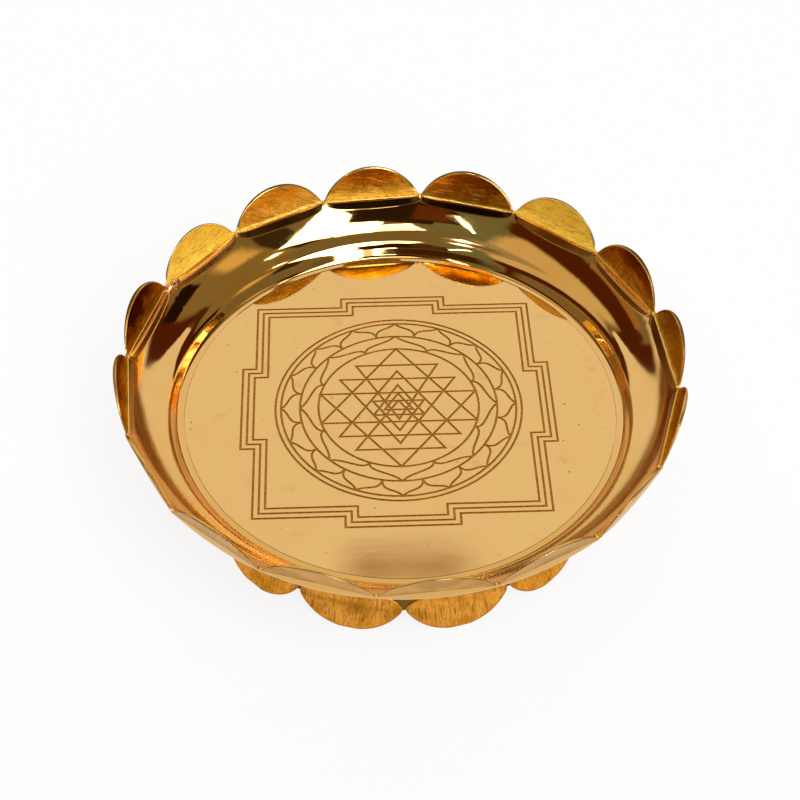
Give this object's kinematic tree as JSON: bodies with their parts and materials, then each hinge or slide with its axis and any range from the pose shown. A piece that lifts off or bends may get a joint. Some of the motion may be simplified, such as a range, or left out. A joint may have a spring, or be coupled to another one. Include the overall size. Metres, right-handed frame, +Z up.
{
  "type": "decorative plate",
  "caption": "Footed round brass plate with a raised border of standing lotus petals and a flat engraved floor; holds offerings, sweets or a lamp, and stands on the petals of its foot",
  "frame": {"origin": "centre of the plane that the foot petals stand on, on the axis of the plate", "axes": "+Z is up, along the axis of the plate; the sides of the engraved square lie along X and Y"},
  "size_m": [0.201, 0.201, 0.0638],
  "materials": {
    "engraved_brass": "polished, with fine engraved lines",
    "polished_brass": "mirror polished",
    "antique_brass": "matt, brushed and darkened"
  },
  "bodies": {
    "root": {"floor_plate": "engraved_brass", "dish": "polished_brass", "rim_petal_01": "antique_brass", "rim_petal_02": "antique_brass", "rim_petal_03": "antique_brass", "rim_petal_04": "antique_brass", "rim_petal_05": "antique_brass", "rim_petal_06": "antique_brass", "rim_petal_07": "antique_brass", "rim_petal_08": "antique_brass", "rim_petal_09": "antique_brass", "rim_petal_10": "antique_brass", "rim_petal_11": "antique_brass", "rim_petal_12": "antique_brass", "rim_petal_13": "antique_brass", "rim_petal_14": "antique_brass", "rim_petal_15": "antique_brass", "rim_petal_16": "antique_brass", "foot_ring": "polished_brass", "foot_petal_01": "antique_brass", "foot_petal_02": "antique_brass", "foot_petal_03": "antique_brass", "foot_petal_04": "antique_brass", "foot_petal_05": "antique_brass", "foot_petal_06": "antique_brass", "foot_petal_07": "antique_brass", "foot_petal_08": "antique_brass", "foot_petal_09": "antique_brass", "foot_petal_10": "antique_brass", "foot_petal_11": "antique_brass", "foot_petal_12": "antique_brass"}
  },
  "joints": []
}
